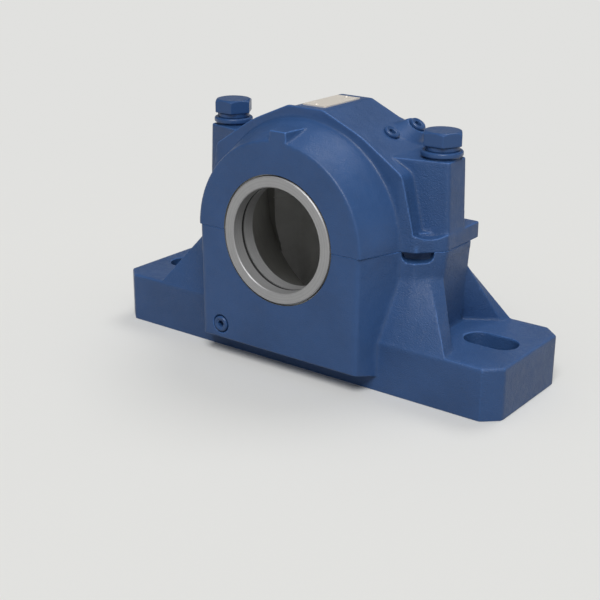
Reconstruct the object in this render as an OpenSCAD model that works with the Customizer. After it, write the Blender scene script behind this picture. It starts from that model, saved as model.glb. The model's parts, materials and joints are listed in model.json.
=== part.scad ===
// Split plummer block: a two-piece cast housing for a roller bearing on a shaft.
// X runs along the foot, Y along the shaft (front is -Y), Z is up, millimetres.
// The origin is the centre of the foot's underside.

/* [Shaft and bearing seat] */
// Height of the shaft's centre above the underside of the foot
centre_h = 114.3; // [112:0.1:118]
// Diameter of the shaft that both seal rings take
shaft_d = 87.3; // [84:0.1:90]
// Diameter of the bearing seat
seat_d = 180; // [176:0.5:183]
// Width of the bearing seat along the shaft
seat_w = 58; // [50:0.5:62]

/* [Foot] */
// Length of the foot
foot_l = 387.4; // [380:0.2:400]
// Width of the foot
foot_w = 111.1; // [106:0.1:116]
// Thickness of the foot
foot_h = 43.5; // [40:0.1:47]
// Length that each foot corner loses along X
foot_cut_x = 13.1; // [8:0.1:16]
// Length that each foot corner loses along Y
foot_cut_y = 12; // [8:0.1:16]
// Distance from an end of the foot to the centre of its mounting slot
slot_inset = 35.7; // [32:0.1:40]
// Length of a mounting slot, end to end
slot_l = 46; // [36:0.5:50]
// Width of a mounting slot
slot_w = 26.5; // [20:0.5:30]
// Depth of the cored recess under the foot
recess_h = 8; // [4:0.5:10]
// Width of the rim left round that recess
recess_rim = 16; // [12:0.5:20]

/* [Housing ends] */
// Depth of the housing over both end faces
end_w = 150.8; // [148:0.1:156]
// Diameter of the drum at its end faces
drum_face_d = 162.2; // [158:0.2:166]
// Diameter of the drum where it meets the body
drum_root_d = 189.5; // [188:0.5:192]
// Rounding of the drum's rim
drum_edge = 2.2; // [1:0.1:3]
// Depth of the room between the inner faces of the end walls
room_w = 100; // [96:0.5:102]
// Half width of that room beside the bearing seat
room_half_seat = 82; // [78:0.5:84]
// Half width of that room at an end wall
room_half_end = 69; // [65:0.5:72]
// Height of the room's floor above the underside
floor_h = 18; // [16:0.5:24]
// Half width of a base end face at the split
end_half_top = 79.8; // [78:0.1:80.5]
// Half width of a base end face at its lower edge
end_half_low = 78.9; // [76:0.1:80]
// Half width of the base where its ends meet the body
end_half_root = 94.5; // [93:0.1:96]
// Height of a base end face's lower edge
end_low_h = 17; // [14:0.1:20]
// Drop of that lower edge from the end face back to the foot
end_low_drop = 4.5; // [2:0.1:6]
// Distance that a base end face lies behind the cap's
split_step = 0.5; // [0.2:0.1:1]

/* [Body] */
// Distance from the shaft's middle to the body's front face
body_half = 38; // [37:0.1:40]
// Distance from the shaft's middle to the cap's rear face
body_rear = 36; // [35:0.1:38]
// Thickness of the cap above the bearing seat
crown_wall = 10.9; // [9:0.1:13]
// Width of the flat on top of the cap
crown_w = 31; // [28:0.5:34]
// Half width at the middle of the shoulder
knee_x = 53.3; // [50:0.1:56]
// Height of that point above the shaft's centre
knee_h = 83.9; // [82.5:0.1:85]
// Half width at the corner below the shoulder
corner_x = 91.2; // [90:0.1:93]
// Height of that corner above the shaft's centre
corner_h = 58.6; // [56:0.1:61]
// Half width of the body at the split
body_foot_x = 104.5; // [103:0.1:105.5]
// Height of the arch rib above the shoulder
rib_proud = 2.3; // [1:0.1:3]
// Height of the arch rib above the flat on top
rib_crown = 1; // [0.4:0.1:2]
// Width of the arch rib along the shaft
rib_w = 4; // [3:0.1:6]

/* [Cap flange and towers] */
// Thickness of the cap's flange
flange_h = 13.5; // [11:0.1:16]
// Distance from a cap bolt to the flange's outer edge
flange_reach = 17.3; // [16:0.1:19]
// Distance from the bolt line to the start of the flange's front corner cut
flange_front = 34.5; // [32:0.1:36]
// Distance from the bolt line to the end of that corner cut
flange_cut_end = 14.8; // [13:0.1:17]
// Distance from the bolt line to the flange's rear edge
flange_rear = 35.5; // [34:0.1:37]
// Distance from the bolt line to the base column's rear corner
column_rear = 23.4; // [21:0.1:26]
// Inward slope of a column's outer wall, from the split to the foot
column_draft = 5; // [2:0.1:7]
// Height of the towers under the cap bolts, above the split
tower_h = 70; // [66:0.1:73]
// Distance from a cap bolt to its tower's outer face, at the top
tower_reach = 14.6; // [14.4:0.1:16.5]
// Half width of a tower's outer face
tower_half = 13; // [11:0.1:15]
// Angle at which a tower widens towards the body
tower_angle = 13; // [8:0.1:20]
// Height of the round pad under a washer, above its tower
pad_h = 1.8; // [1:0.1:3]
// Diameter of that pad
pad_d = 28; // [24:0.5:29]
// Distance from a cap bolt to where its tower starts inside the body
tower_root = 45; // [40:0.5:48]
// Rounding of the cast edges
cast_edge = 2; // [1:0.1:2.6]

/* [Cap bolts] */
// Distance between the two cap bolts
bolt_spacing = 210.6; // [209:0.2:214]
// Diameter of a cap bolt
bolt_d = 19.05; // [17:0.05:20]
// Length of a cap bolt's shank below its head
bolt_l = 114; // [108:0.5:120]
// Width of a bolt head across its flats
bolt_af = 29.6; // [26:0.1:30]
// Height of a bolt head
bolt_head_h = 11.2; // [10:0.1:14]
// Turn of the left and the right bolt head about the bolt
bolt_turn = [2, 1]; // [0:1:60]
// Clearance round a cap bolt in the cap, on the radius
bolt_play = 0.8; // [0.5:0.1:1]
// Outer diameter of a flat washer
washer_d = 33.6; // [32:0.1:36]
// Thickness of a flat washer
washer_t = 4.4; // [3:0.1:5]
// Outer diameter of a spring lock washer
lock_d = 27.5; // [26:0.1:32]
// Thickness of a spring lock washer
lock_t = 4.3; // [3:0.1:5]
// Width of the slit in a spring lock washer
lock_slit = 1.6; // [1:0.1:2.5]

/* [Dowel pins] */
// Diameter of a dowel pin
dowel_d = 8; // [6:0.1:9]
// Length of a dowel pin in the base
dowel_in_base = 14; // [10:0.5:18]
// Length of a dowel pin in the cap
dowel_in_cap = 9; // [6:0.5:11]
// Distance from a dowel pin to the bolt line
dowel_y = 23.5; // [22:0.1:25]

/* [Seal rings] */
// Thickness of a seal ring's body between its bore and its outside
ring_wall = 9.15; // [8:0.05:10]
// Length of a seal ring along the shaft
ring_l = 26; // [24:0.1:27]
// Distance that a seal ring stands out of the end face
ring_proud = 0.8; // [0.3:0.1:1.5]
// Height of a seal ring's fins
fin_h = 7; // [5:0.1:8]
// Width of a seal ring's fins
fin_w = 4; // [3:0.1:5]
// Distance between the middles of the two fins
fin_pitch = 9; // [8:0.1:10]
// Distance from a seal ring's outer face to the middle of its O-ring
cord_inset = 12.8; // [10:0.1:14]
// Running gap between a seal ring and the housing
seal_gap = 0.5; // [0.3:0.05:0.7]
// Thickness of an O-ring's section
cord_d = 3.3; // [2.5:0.1:3.6]
// Depth of an O-ring below the ring's bore
cord_sink = 0.1; // [0.05:0.01:0.3]

/* [Plugs and plate] */
// Diameter of a plug's rim
plug_rim_d = 13.6; // [12:0.1:16]
// Height of a plug's rim
plug_rim_h = 3; // [2:0.1:4]
// Diameter of a plug's stem
plug_stem_d = 9.8; // [8:0.1:11]
// Length of a plug's stem
plug_stem_l = 9; // [7:0.1:12]
// Width of a plug's hexagon socket across its flats
plug_af = 5.5; // [4.5:0.1:6]
// Height of the boss under the rear cap plug
plug_boss_h = 7; // [4:0.1:8]
// Distance of the drain plug from the middle of the housing
drain_x = 60; // [56:0.5:63]
// Height of the drain plug above the underside
drain_h = 29; // [27:0.1:33]
// Length of the nameplate
plate_l = 50; // [46:0.5:58]
// Width of the nameplate
plate_w = 23; // [20:0.5:27]
// Thickness of the nameplate
plate_t = 1; // [0.6:0.1:1.6]
// Diameter of a nameplate rivet's head
rivet_d = 3.4; // [2.6:0.1:4]

/* [Hidden] */
$fn = 96;

paint = "#33558c";
raw_steel = "#9a9a98";
seal_rubber = "#1d1d1f";
plate_metal = "#d6cfc2";

slot_spacing = foot_l - 2 * slot_inset;
seat_r = seat_d / 2;
bolt_x = bolt_spacing / 2;
bolt_r = bolt_d / 2;
end_half = end_w / 2;
room_half = room_w / 2;
base_end_half = end_half - split_step;
crown_h = seat_r + crown_wall;
column_x = bolt_x + flange_reach - 0.3;
dowel_x = bolt_x - 0.8;
overlap = 0.5;
thread_fit = 0.05;
press_fit = 0.02;
corner_steps = 5;

ring_bore_r = shaft_d / 2;
ring_r = ring_bore_r + ring_wall;
fin_r = ring_r + fin_h;
ring_outer = end_half + ring_proud;
ring_inner = ring_outer - ring_l;
ring_middle = (end_half + room_half) / 2;
groove_w = cord_d + 0.2;
groove_at = ring_outer - cord_inset;
groove_r = ring_bore_r + cord_sink + cord_d + 0.05;

function xy(p) = [p[0], p[1]];
function unit(v) = v / norm(v);
function turn_between(a, b) = (b - a + 540) % 360 - 180;

// Points of the arc that rounds corner b, which lies between a and c
function corner_arc(a, b, c, r) =
    r <= 0 ? [b] :
    let (u = unit(a - b))
    let (v = unit(c - b))
    let (half = acos(u * v) / 2)
    let (middle = b + unit(u + v) * r / sin(half))
    let (first = b + u * r / tan(half) - middle)
    let (last = b + v * r / tan(half) - middle)
    let (start = atan2(first.y, first.x))
    let (sweep = turn_between(start, atan2(last.y, last.x)))
    [for (k = [0 : corner_steps])
        let (t = start + sweep * k / corner_steps)
        middle + r * [cos(t), sin(t)]];

// Outline with rounded corners, from points given as [x, y, radius]
function rounded(p) =
    let (n = len(p))
    [for (i = [0 : n - 1])
        each corner_arc(xy(p[(i + n - 1) % n]), xy(p[i]), xy(p[(i + 1) % n]), p[i][2])];

// The same kind of outline, moved inward by d all round
function inset(p, d) =
    let (n = len(p))
    [for (i = [0 : n - 1])
        let (u = unit(xy(p[i]) - xy(p[(i + n - 1) % n])))
        let (v = unit(xy(p[(i + 1) % n]) - xy(p[i])))
        let (nu = [-u.y, u.x])
        let (nv = [-v.y, v.x])
        let (q = xy(p[i]) + (nu + nv) * d / (1 + nu * nv))
        [q.x, q.y, max(p[i][2] - d, 0.2)]];

// The same closed outline with every edge in n parts
function divided(p, n) =
    [for (i = [0 : len(p) - 1], k = [0 : n - 1])
        let (t = k / n)
        p[i] * (1 - t) + p[(i + 1) % len(p)] * t];

// Points of a circle round [0, y]
function circle_at(y, r) = [for (k = [0 : 47]) let (t = 7.5 * k) [r * cos(t), y + r * sin(t)]];

function lifted(p, z) = [for (q = p) [q.x, q.y, z]];
function mirrored_x(p) = [for (i = [len(p) - 1 : -1 : 0]) [-p[i][0], p[i][1], p[i][2]]];

function middle_of(p) = [for (a = [0 : 2]) [for (q = p) q[a]] * [for (q = p) 1] / len(p)];

// Solid through a stack of rings, each with as many points as the others.
// fans closes its ends with triangles, for rings with points along straight edges.
module skin(rings, fans = false) {
    n = len(rings[0]);
    last = (len(rings) - 1) * n;
    count = len(rings) * n;
    sides = [
        for (k = [0 : len(rings) - 2], i = [0 : n - 1])
            let (j = (i + 1) % n)
            let (a = k * n)
            let (b = a + n)
            each [[a + i, b + i, b + j], [a + i, b + j, a + j]]
    ];
    bottom = fans ?
        [for (i = [0 : n - 1]) [i, (i + 1) % n, count]] :
        [[for (i = [0 : n - 1]) i]];
    top = fans ?
        [for (i = [0 : n - 1]) [last + (i + 1) % n, last + i, count + 1]] :
        [[for (i = [n - 1 : -1 : 0]) last + i]];
    ends = fans ? [middle_of(rings[0]), middle_of(rings[len(rings) - 1])] : [];
    polyhedron(concat([for (r = rings) each r], ends), concat(bottom, top, sides));
}

// Upright block with rounded corners and a rounded top edge
module cast_block(outline, z0, z1, edge) {
    turns = [0, 30, 60, 90];
    skin(concat(
        [lifted(rounded(inset(outline, 0)), z0)],
        [for (t = turns) lifted(rounded(inset(outline, edge * (1 - cos(t)))), z1 - edge + edge * sin(t))]
    ));
}

// Places what is drawn round the Z axis round the shaft, with +Z towards the front
module on_shaft() {
    translate([0, 0, centre_h]) rotate([90, 0, 0]) children();
}

// Extrudes an outline that is drawn in X and Z round the shaft's centre
module across(y0, y1) {
    translate([0, y1, centre_h]) rotate([90, 0, 0]) linear_extrude(y1 - y0) children();
}

module left_and_right() {
    children();
    mirror([1, 0, 0]) children();
}

module front_and_rear() {
    children();
    mirror([0, 1, 0]) children();
}

// Right half of the outline that the cap and the base share in plan
front_bend = end_half_root - 2.3;
function side_plan(x, rear_x, rear_y) =
    let (r = 1.6)
    [
        [front_bend, -body_half, 0], [bolt_x, -flange_front, r],
        [x, -flange_cut_end, r], [rear_x, rear_y, r]
    ];

// Outline of the body above the split, with its shoulders moved out by proud
function body_outline(proud, rise) =
    let (right = [
        [body_foot_x + proud * 0.9, 0, 0],
        [corner_x + proud * 0.8, corner_h + proud * 0.8, 9],
        [knee_x + proud * 0.5, knee_h + proud * 0.9, 120],
        [crown_w / 2 + proud, crown_h + rise, 6]
    ])
    concat(right, mirrored_x(right));

// Height of the shoulder above the shaft's centre, at x
function shoulder_h(x) = knee_h + (x - knee_x) * (corner_h - knee_h) / (corner_x - knee_x);
shoulder_angle = atan2(knee_h - corner_h, corner_x - knee_x);

// Places a part on the right shoulder, with +Z square to its surface
module on_shoulder(x, y) {
    translate([x, y, centre_h + shoulder_h(x)]) rotate([0, shoulder_angle, 0]) children();
}

plug_front_at = [55.9, 3.9];
plug_rear_at = [60, 30];
plug_seat_d = plug_rim_d + 2.4;
plug_seat_depth = 0.6;
drain_seat_depth = 2.2;

// Cuts

// Seat, end walls' bores and labyrinth grooves, as one turned shape
module turned_room() {
    fin_groove = fin_w / 2 + seal_gap;
    on_shaft() {
        cylinder(h = seat_w, r = seat_r, center = true);
        cylinder(h = end_w + 20, r = ring_r + seal_gap, center = true);
        for (side = [-1, 1], fin = [-1, 1])
            translate([0, 0, side * ring_middle + fin * fin_pitch / 2])
                cylinder(h = 2 * fin_groove, r = fin_r + seal_gap, center = true);
    }
}

// Cast rooms beside the seat, in plan
module room_plan() {
    half = seat_w / 2 - overlap;
    front_and_rear()
        polygon([
            [-room_half_seat, half], [room_half_seat, half],
            [room_half_end, room_half], [-room_half_end, room_half]
        ]);
}

module base_rooms() {
    translate([0, 0, floor_h]) linear_extrude(centre_h - floor_h + overlap) room_plan();
}

module cap_rooms() {
    side_r = seat_r - 4;
    end_r = room_half_end + 9;
    intersection() {
        translate([0, 0, centre_h - overlap]) linear_extrude(seat_r) room_plan();
        on_shaft()
            rotate_extrude()
                polygon([
                    [0, -room_half], [end_r, -room_half], [side_r, -seat_w / 2],
                    [side_r, seat_w / 2], [end_r, room_half], [0, room_half]
                ]);
    }
}

module mounting_slots() {
    reach = (slot_l - slot_w) / 2;
    left_and_right()
        translate([slot_spacing / 2, 0, -1])
            linear_extrude(foot_h + 2) {
                square([2 * reach, slot_w], center = true);
                for (side = [-1, 1]) translate([side * reach, 0]) circle(d = slot_w);
            }
}

module underside_recess() {
    half_x = slot_spacing / 2 - slot_l / 2 - recess_rim;
    half_y = foot_w / 2 - recess_rim;
    translate([0, 0, -1]) linear_extrude(recess_h + 1)
        polygon(rounded([
            [-half_x, -half_y, 8], [half_x, -half_y, 8], [half_x, half_y, 8], [-half_x, half_y, 8]
        ]));
}

// Wedge that leaves the lower edge of an end face above the foot's underside
module end_undercut() {
    face = end_half + 2;
    rise = end_low_drop / (end_half - foot_w / 2);
    low = end_low_h - end_low_drop;
    front_and_rear()
        translate([-end_half_root - 5, 0, 0]) rotate([90, 0, 90]) linear_extrude(2 * end_half_root + 10)
            polygon([
                [foot_w / 2, -2], [face, -2],
                [face, low + (face - foot_w / 2) * rise], [foot_w / 2, low]
            ]);
}

// Cast slot under the front corner of the flange, where a bar lifts the cap
module pry_slot() {
    width = 25;
    depth = 12;
    height = 8.6;
    round_r = 6;
    translate([bolt_x + 2, -flange_front + 1, centre_h]) rotate([0, 0, 32])
        translate([0, depth, 0]) rotate([90, 0, 0]) linear_extrude(depth + 12)
            polygon(rounded([
                [-width / 2, -height, round_r], [width / 2, -height, round_r],
                [width / 2, 2, 0], [-width / 2, 2, 0]
            ]));
}

// Base

foot_outline = let (x = foot_l / 2)
    let (y = foot_w / 2)
    let (r = 1.5)
    [
        [-x + foot_cut_x, -y, r], [x - foot_cut_x, -y, r],
        [x, -y + foot_cut_y, r], [x, y - foot_cut_y, r],
        [x - foot_cut_x, y, r], [-x + foot_cut_x, y, r],
        [-x, y - foot_cut_y, r], [-x, -y + foot_cut_y, r]
    ];

// Plan of the base's two ends, for a given half width of their faces
function ends_plan(half) =
    let (y = base_end_half)
    let (r = 3.5)
    let (root = end_half_root)
    let (root_y = body_half - 2)
    [
        [-half, -y, r], [half, -y, r], [root, -root_y, 0], [root, root_y, 0],
        [half, y, r], [-half, y, r], [-root, root_y, 0], [-root, -root_y, 0]
    ];

module base_ends() {
    low = end_low_h - end_low_drop - 2;
    skin([lifted(rounded(ends_plan(end_half_low)), low), lifted(rounded(ends_plan(end_half_top)), centre_h)]);
}

// Plan of a column, with its outer wall at x
function column_plan(x) =
    concat(
        [[60, -body_half, 0]], side_plan(x, x, column_rear),
        [[bolt_x + 4, flange_rear, 1.6], [60, flange_rear, 0]]
    );

module base_column() {
    skin([
        lifted(rounded(column_plan(column_x - column_draft)), foot_h - 3),
        lifted(rounded(column_plan(column_x)), centre_h)
    ]);
}

gusset_top_h = centre_h - 21.3;
gusset_reach = 43.6;
gusset_levels = 8;
gusset_parts = 4;

// One of the four faceted gussets between a column and the foot's edge.
// corner_y is where the column's corner cut ends.
module gusset(corner_y) {
    edge_y = foot_w / 2;
    foot_z = foot_h - 2.5;
    top = [
        [bolt_x - 25, -20, gusset_top_h], [front_bend + 0.4, -body_half + 0.1, gusset_top_h],
        [bolt_x, -flange_front, gusset_top_h],
        [bolt_x + flange_reach / 2, -(flange_front + corner_y) / 2, gusset_top_h],
        [column_x - 2, -corner_y, gusset_top_h], [bolt_x + 2, -4, gusset_top_h]
    ];
    foot = [
        [bolt_x - 30, -30, foot_z], [bolt_x - 19.6, -edge_y, foot_z],
        [bolt_x + 0.4, -edge_y, foot_z], [bolt_x + gusset_reach, -edge_y, foot_z],
        [bolt_x + gusset_reach - 4.4, -corner_y - 21.5, foot_z],
        [column_x - column_draft, -corner_y - 5.7, foot_z]
    ];
    skin([
        for (k = [0 : gusset_levels])
            let (t = k / gusset_levels)
            divided(foot * (1 - t) + top * t, gusset_parts)
    ], fans = true);
}

module dowel_holes(r, z0, z1) {
    for (side = [-1, 1])
        translate([side * dowel_x, dowel_y, z0]) cylinder(h = z1 - z0, r = r);
}

module drain_bore() {
    translate([-drain_x, -end_half - 1, drain_h]) rotate([-90, 0, 0]) {
        cylinder(h = end_half - room_half + 2, d = plug_stem_d + 2 * thread_fit);
        cylinder(h = 1 + split_step + drain_seat_depth, d = plug_seat_d);
    }
}

module base() {
    color(paint)
        difference() {
            union() {
                cast_block(foot_outline, 0, foot_h, cast_edge);
                base_ends();
                left_and_right() {
                    base_column();
                    gusset(flange_cut_end);
                    mirror([0, 1, 0]) gusset(column_rear);
                }
            }
            end_undercut();
            turned_room();
            base_rooms();
            mounting_slots();
            underside_recess();
            left_and_right() {
                pry_slot();
                translate([bolt_x, 0, head_z - bolt_l - 4])
                    cylinder(h = bolt_l, r = bolt_r + thread_fit);
            }
            dowel_holes(dowel_d / 2 + press_fit, centre_h - dowel_in_base, centre_h + 1);
            drain_bore();
        }
}

// Cap

// Body under the crown, with the arch rib along its front edge
module cap_body() {
    reach = bolt_x + flange_reach;
    slope = (body_half - flange_front) / (bolt_x - front_bend);
    right = [
        [0, -body_half - 2], [front_bend - 2 / slope, -body_half - 2],
        [reach, -body_half + slope * (reach - front_bend)],
        [reach, body_rear + 2], [0, body_rear + 2]
    ];
    intersection() {
        union() {
            across(-body_half + rib_w - overlap, body_rear) polygon(rounded(body_outline(0, 0)));
            across(-body_half, -body_half + rib_w) polygon(rounded(body_outline(rib_proud, rib_crown)));
        }
        translate([0, 0, centre_h - 1]) linear_extrude(crown_h + 10)
            left_and_right() polygon(right);
    }
}

// Half drum with its rounded rims, above the split
module drum() {
    face_r = drum_face_d / 2;
    root_r = drum_root_d / 2;
    root_y = body_half - 3;
    slope = (root_r - face_r) / (end_half - root_y);
    rim = rounded([
        [0, end_half, 0], [face_r, end_half, drum_edge],
        [face_r + slope * (end_half - root_y), root_y, 0], [0, root_y, 0]
    ]);
    on_shaft()
        for (side = [0, 1])
            mirror([0, 0, side]) rotate_extrude(angle = 180, $fn = 180) polygon(rim);
}

module flange() {
    x = bolt_x + flange_reach;
    plan = concat([[60, -body_half, 0]], side_plan(x, x, flange_rear), [[60, flange_rear, 0]]);
    left_and_right() cast_block(plan, centre_h, centre_h + flange_h, cast_edge / 2);
}

// Shallow hollow in the top of the flange's front corner, clear of the tower
module flange_hollow() {
    round_r = 26;
    depth = 3;
    inner = 9;
    length = 20;
    angle = atan2(flange_front - flange_cut_end, flange_reach);
    middle = [bolt_x + flange_reach / 2, -(flange_front + flange_cut_end) / 2];
    translate([middle.x, middle.y, centre_h + flange_h + round_r - depth])
        rotate([0, 0, angle])
            translate([0, inner, 0]) rotate([90, 0, 0]) cylinder(h = length, r = round_r);
}

// Outline of a tower whose outer face is at x
function tower_plan(x) =
    let (inner = bolt_x - tower_root)
    let (wide = tower_half + (x - inner) * tan(tower_angle))
    [[inner, -wide, 0], [x, -tower_half, 3], [x, tower_half, 3], [inner, wide, 0]];

// Towers whose outer faces spread down to the flange's edge, each with its pad
module towers() {
    ledge = 0.3;
    sink = 4;
    edge = cast_edge / 2;
    turns = [0, 30, 60, 90];
    low = tower_plan(bolt_x + flange_reach - ledge);
    high = tower_plan(bolt_x + tower_reach);
    left_and_right() {
        skin(concat(
            [lifted(rounded(inset(low, 0)), centre_h + flange_h - sink)],
            [for (t = turns) lifted(
                rounded(inset(high, edge * (1 - cos(t)))), centre_h + tower_h - edge + edge * sin(t))]
        ));
        translate([bolt_x, 0, centre_h + tower_h - 1]) cylinder(h = pad_h + 1, d = pad_d);
    }
}

// Lug on the front of the drum, in line with its face
module drum_lug() {
    rise = 8.2;
    depth = 27;
    height = 17;
    top_h = drum_face_d / 2 + rise;
    front = 7.7;
    back = 10;
    draft = 1.4;
    back_y = -end_half + depth;
    middle_x = 1.6;
    low = [
        [-front - draft, -end_half, 0.4], [front + draft, -end_half, 0.4],
        [back + draft, back_y, 0.4], [-back - draft, back_y, 0.4]
    ];
    high = [
        [-front, -end_half, 0.4], [front, -end_half, 0.4],
        [back, back_y, 0.4], [-back, back_y, 0.4]
    ];
    translate([middle_x, 0, centre_h])
        skin([lifted(rounded(low), top_h - height), lifted(rounded(high), top_h)]);
}

// Boss under the rear cap plug, whose front side is drawn out into a ramp
module plug_boss() {
    depth = 3;
    foot_r = 15.5;
    foot_shift = -9;
    top_r = plug_seat_d / 2 + 0.8;
    on_shoulder(plug_rear_at.x, plug_rear_at.y)
        skin([lifted(circle_at(foot_shift, foot_r), -depth), lifted(circle_at(0, top_r), plug_boss_h)]);
}

module plug_bore(at, lift) {
    on_shoulder(at.x, at.y) translate([0, 0, lift]) {
        translate([0, 0, -30]) cylinder(h = 31, d = plug_stem_d + 2 * thread_fit);
        translate([0, 0, -plug_seat_depth]) cylinder(h = 3, d = plug_seat_d);
    }
}

module cap() {
    color(paint)
        difference() {
            union() {
                cap_body();
                drum();
                difference() {
                    flange();
                    left_and_right() flange_hollow();
                }
                towers();
                drum_lug();
                plug_boss();
            }
            turned_room();
            cap_rooms();
            left_and_right()
                translate([bolt_x, 0, centre_h - 1]) cylinder(h = washer_z - centre_h + 2, r = bolt_r + bolt_play);
            dowel_holes(dowel_d / 2 + thread_fit, centre_h - 1, centre_h + dowel_in_cap + 1);
            plug_bore(plug_front_at, 0);
            plug_bore(plug_rear_at, plug_boss_h);
            for (side = [-1, 1])
                translate([plate_x, side * rivet_y, centre_h + crown_h - rivet_stem_l])
                    cylinder(h = rivet_stem_l + 1, d = rivet_stem_d + 2 * press_fit);
        }
}

// Bolts and washers

washer_z = centre_h + tower_h + pad_h;
lock_z = washer_z + washer_t;
head_z = lock_z + lock_t;

// Turned ring with small chamfers, standing on z = 0
module turned_ring(r_in, r_out, height, edge) {
    rotate_extrude()
        polygon([
            [r_in, 0], [r_out - edge, 0], [r_out, edge],
            [r_out, height - edge], [r_out - edge, height], [r_in, height]
        ]);
}

module cap_bolt(side, turn) {
    point = 2;
    across_corners = bolt_af / cos(30);
    color(paint)
        translate([side * bolt_x, 0, head_z]) {
            rotate([0, 0, turn])
                intersection() {
                    cylinder(h = bolt_head_h, d = across_corners, $fn = 6);
                    rotate_extrude()
                        polygon([
                            [0, 0], [across_corners / 2 - 0.6, 0], [across_corners / 2 + 0.4, 0.9],
                            [across_corners / 2 + 0.4, bolt_head_h - 2],
                            [bolt_af / 2 - 0.8, bolt_head_h], [0, bolt_head_h]
                        ]);
                }
            rotate_extrude()
                polygon([
                    [0, overlap], [bolt_r, overlap], [bolt_r, -bolt_l + point],
                    [bolt_r - point, -bolt_l], [0, -bolt_l]
                ]);
        }
}

module lock_washer(side) {
    hole_r = bolt_r + 0.4;
    color(paint)
        translate([side * bolt_x, 0, lock_z])
            difference() {
                turned_ring(hole_r, lock_d / 2, lock_t, 0.5);
                rotate([0, 0, -120]) translate([hole_r - 2, -lock_slit / 2, -1])
                    rotate([12, 0, 0]) cube([lock_d, lock_slit, lock_t + 3]);
            }
}

module flat_washer(side) {
    color(paint)
        translate([side * bolt_x, 0, washer_z])
            turned_ring(bolt_r + bolt_play, washer_d / 2, washer_t, 0.9);
}

module dowel_pin(side) {
    r = dowel_d / 2;
    edge = 0.8;
    color(raw_steel)
        translate([side * dowel_x, dowel_y, centre_h - dowel_in_base])
            rotate_extrude()
                polygon([
                    [0, 0], [r - edge, 0], [r, edge], [r, dowel_in_base + dowel_in_cap - edge],
                    [r - edge, dowel_in_base + dowel_in_cap], [0, dowel_in_base + dowel_in_cap]
                ]);
}

// Seals

// Turned labyrinth ring with two fins and an O-ring groove in its bore
module seal_ring() {
    edge = 0.8;
    fin_low = ring_middle - fin_pitch / 2 - fin_w / 2;
    fin_high = fin_low + fin_pitch;
    color(raw_steel)
        on_shaft()
            rotate_extrude($fn = 120)
                polygon([
                    [ring_bore_r, ring_inner + edge], [ring_bore_r + edge, ring_inner],
                    [ring_r - edge, ring_inner], [ring_r, ring_inner + edge],
                    [ring_r, fin_low], [fin_r, fin_low], [fin_r, fin_low + fin_w], [ring_r, fin_low + fin_w],
                    [ring_r, fin_high], [fin_r, fin_high], [fin_r, fin_high + fin_w], [ring_r, fin_high + fin_w],
                    [ring_r, ring_outer - edge], [ring_r - edge, ring_outer],
                    [ring_bore_r + edge, ring_outer], [ring_bore_r, ring_outer - edge],
                    [ring_bore_r, groove_at + groove_w / 2], [groove_r, groove_at + groove_w / 2],
                    [groove_r, groove_at - groove_w / 2], [ring_bore_r, groove_at - groove_w / 2]
                ]);
}

module o_ring() {
    color(seal_rubber)
        on_shaft()
            translate([0, 0, groove_at])
                rotate_extrude($fn = 120)
                    translate([ring_bore_r + cord_sink + cord_d / 2, 0]) circle(d = cord_d, $fn = 24);
}

// Plugs and plate

// Plug with a rimmed head and a hexagon socket, its stem below z = 0
module plug() {
    r = plug_rim_d / 2;
    edge = 0.9;
    socket_r = plug_af / 2 / cos(30);
    color(paint)
        difference() {
            rotate_extrude()
                polygon([
                    [0, -plug_stem_l], [plug_stem_d / 2 - 1, -plug_stem_l],
                    [plug_stem_d / 2, -plug_stem_l + 1], [plug_stem_d / 2, 0],
                    [r - 0.4, 0], [r, 0.4], [r, plug_rim_h - edge], [r - edge, plug_rim_h],
                    [socket_r + 1.6, plug_rim_h], [socket_r + 0.6, plug_rim_h - 0.7],
                    [0, plug_rim_h - 0.7]
                ]);
            translate([0, 0, plug_rim_h - 5.5]) cylinder(h = 6, r = socket_r, $fn = 6);
        }
}

module cap_plug(at, lift) {
    on_shoulder(at.x, at.y) translate([0, 0, lift - plug_seat_depth]) plug();
}

module drain_plug() {
    translate([-drain_x, -end_half + split_step + drain_seat_depth, drain_h]) rotate([90, 0, 0]) plug();
}

plate_x = -0.6;
rivet_y = plate_l / 2 - 4;
rivet_stem_d = 2;
rivet_stem_l = 6;
plate_z = centre_h + crown_h;

module nameplate() {
    half_x = plate_w / 2;
    half_y = plate_l / 2;
    color(plate_metal)
        translate([plate_x, 0, plate_z])
            difference() {
                linear_extrude(plate_t)
                    polygon(rounded([
                        [-half_x, -half_y, 1], [half_x, -half_y, 1],
                        [half_x, half_y, 1], [-half_x, half_y, 1]
                    ]));
                for (side = [-1, 1])
                    translate([0, side * rivet_y, -1]) cylinder(h = plate_t + 2, d = rivet_stem_d + 2 * press_fit);
            }
}

module plate_rivet(side) {
    head_h = 0.9;
    color(plate_metal)
        translate([plate_x, side * rivet_y, plate_z + plate_t]) {
            rotate_extrude($fn = 32)
                polygon([
                    [0, 0], [rivet_d / 2, 0], [rivet_d / 2 - 0.3, head_h * 0.6],
                    [rivet_d / 4, head_h], [0, head_h]
                ]);
            translate([0, 0, -plate_t - rivet_stem_l + 0.5])
                cylinder(h = plate_t + rivet_stem_l, d = rivet_stem_d, $fn = 24);
        }
}

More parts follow.
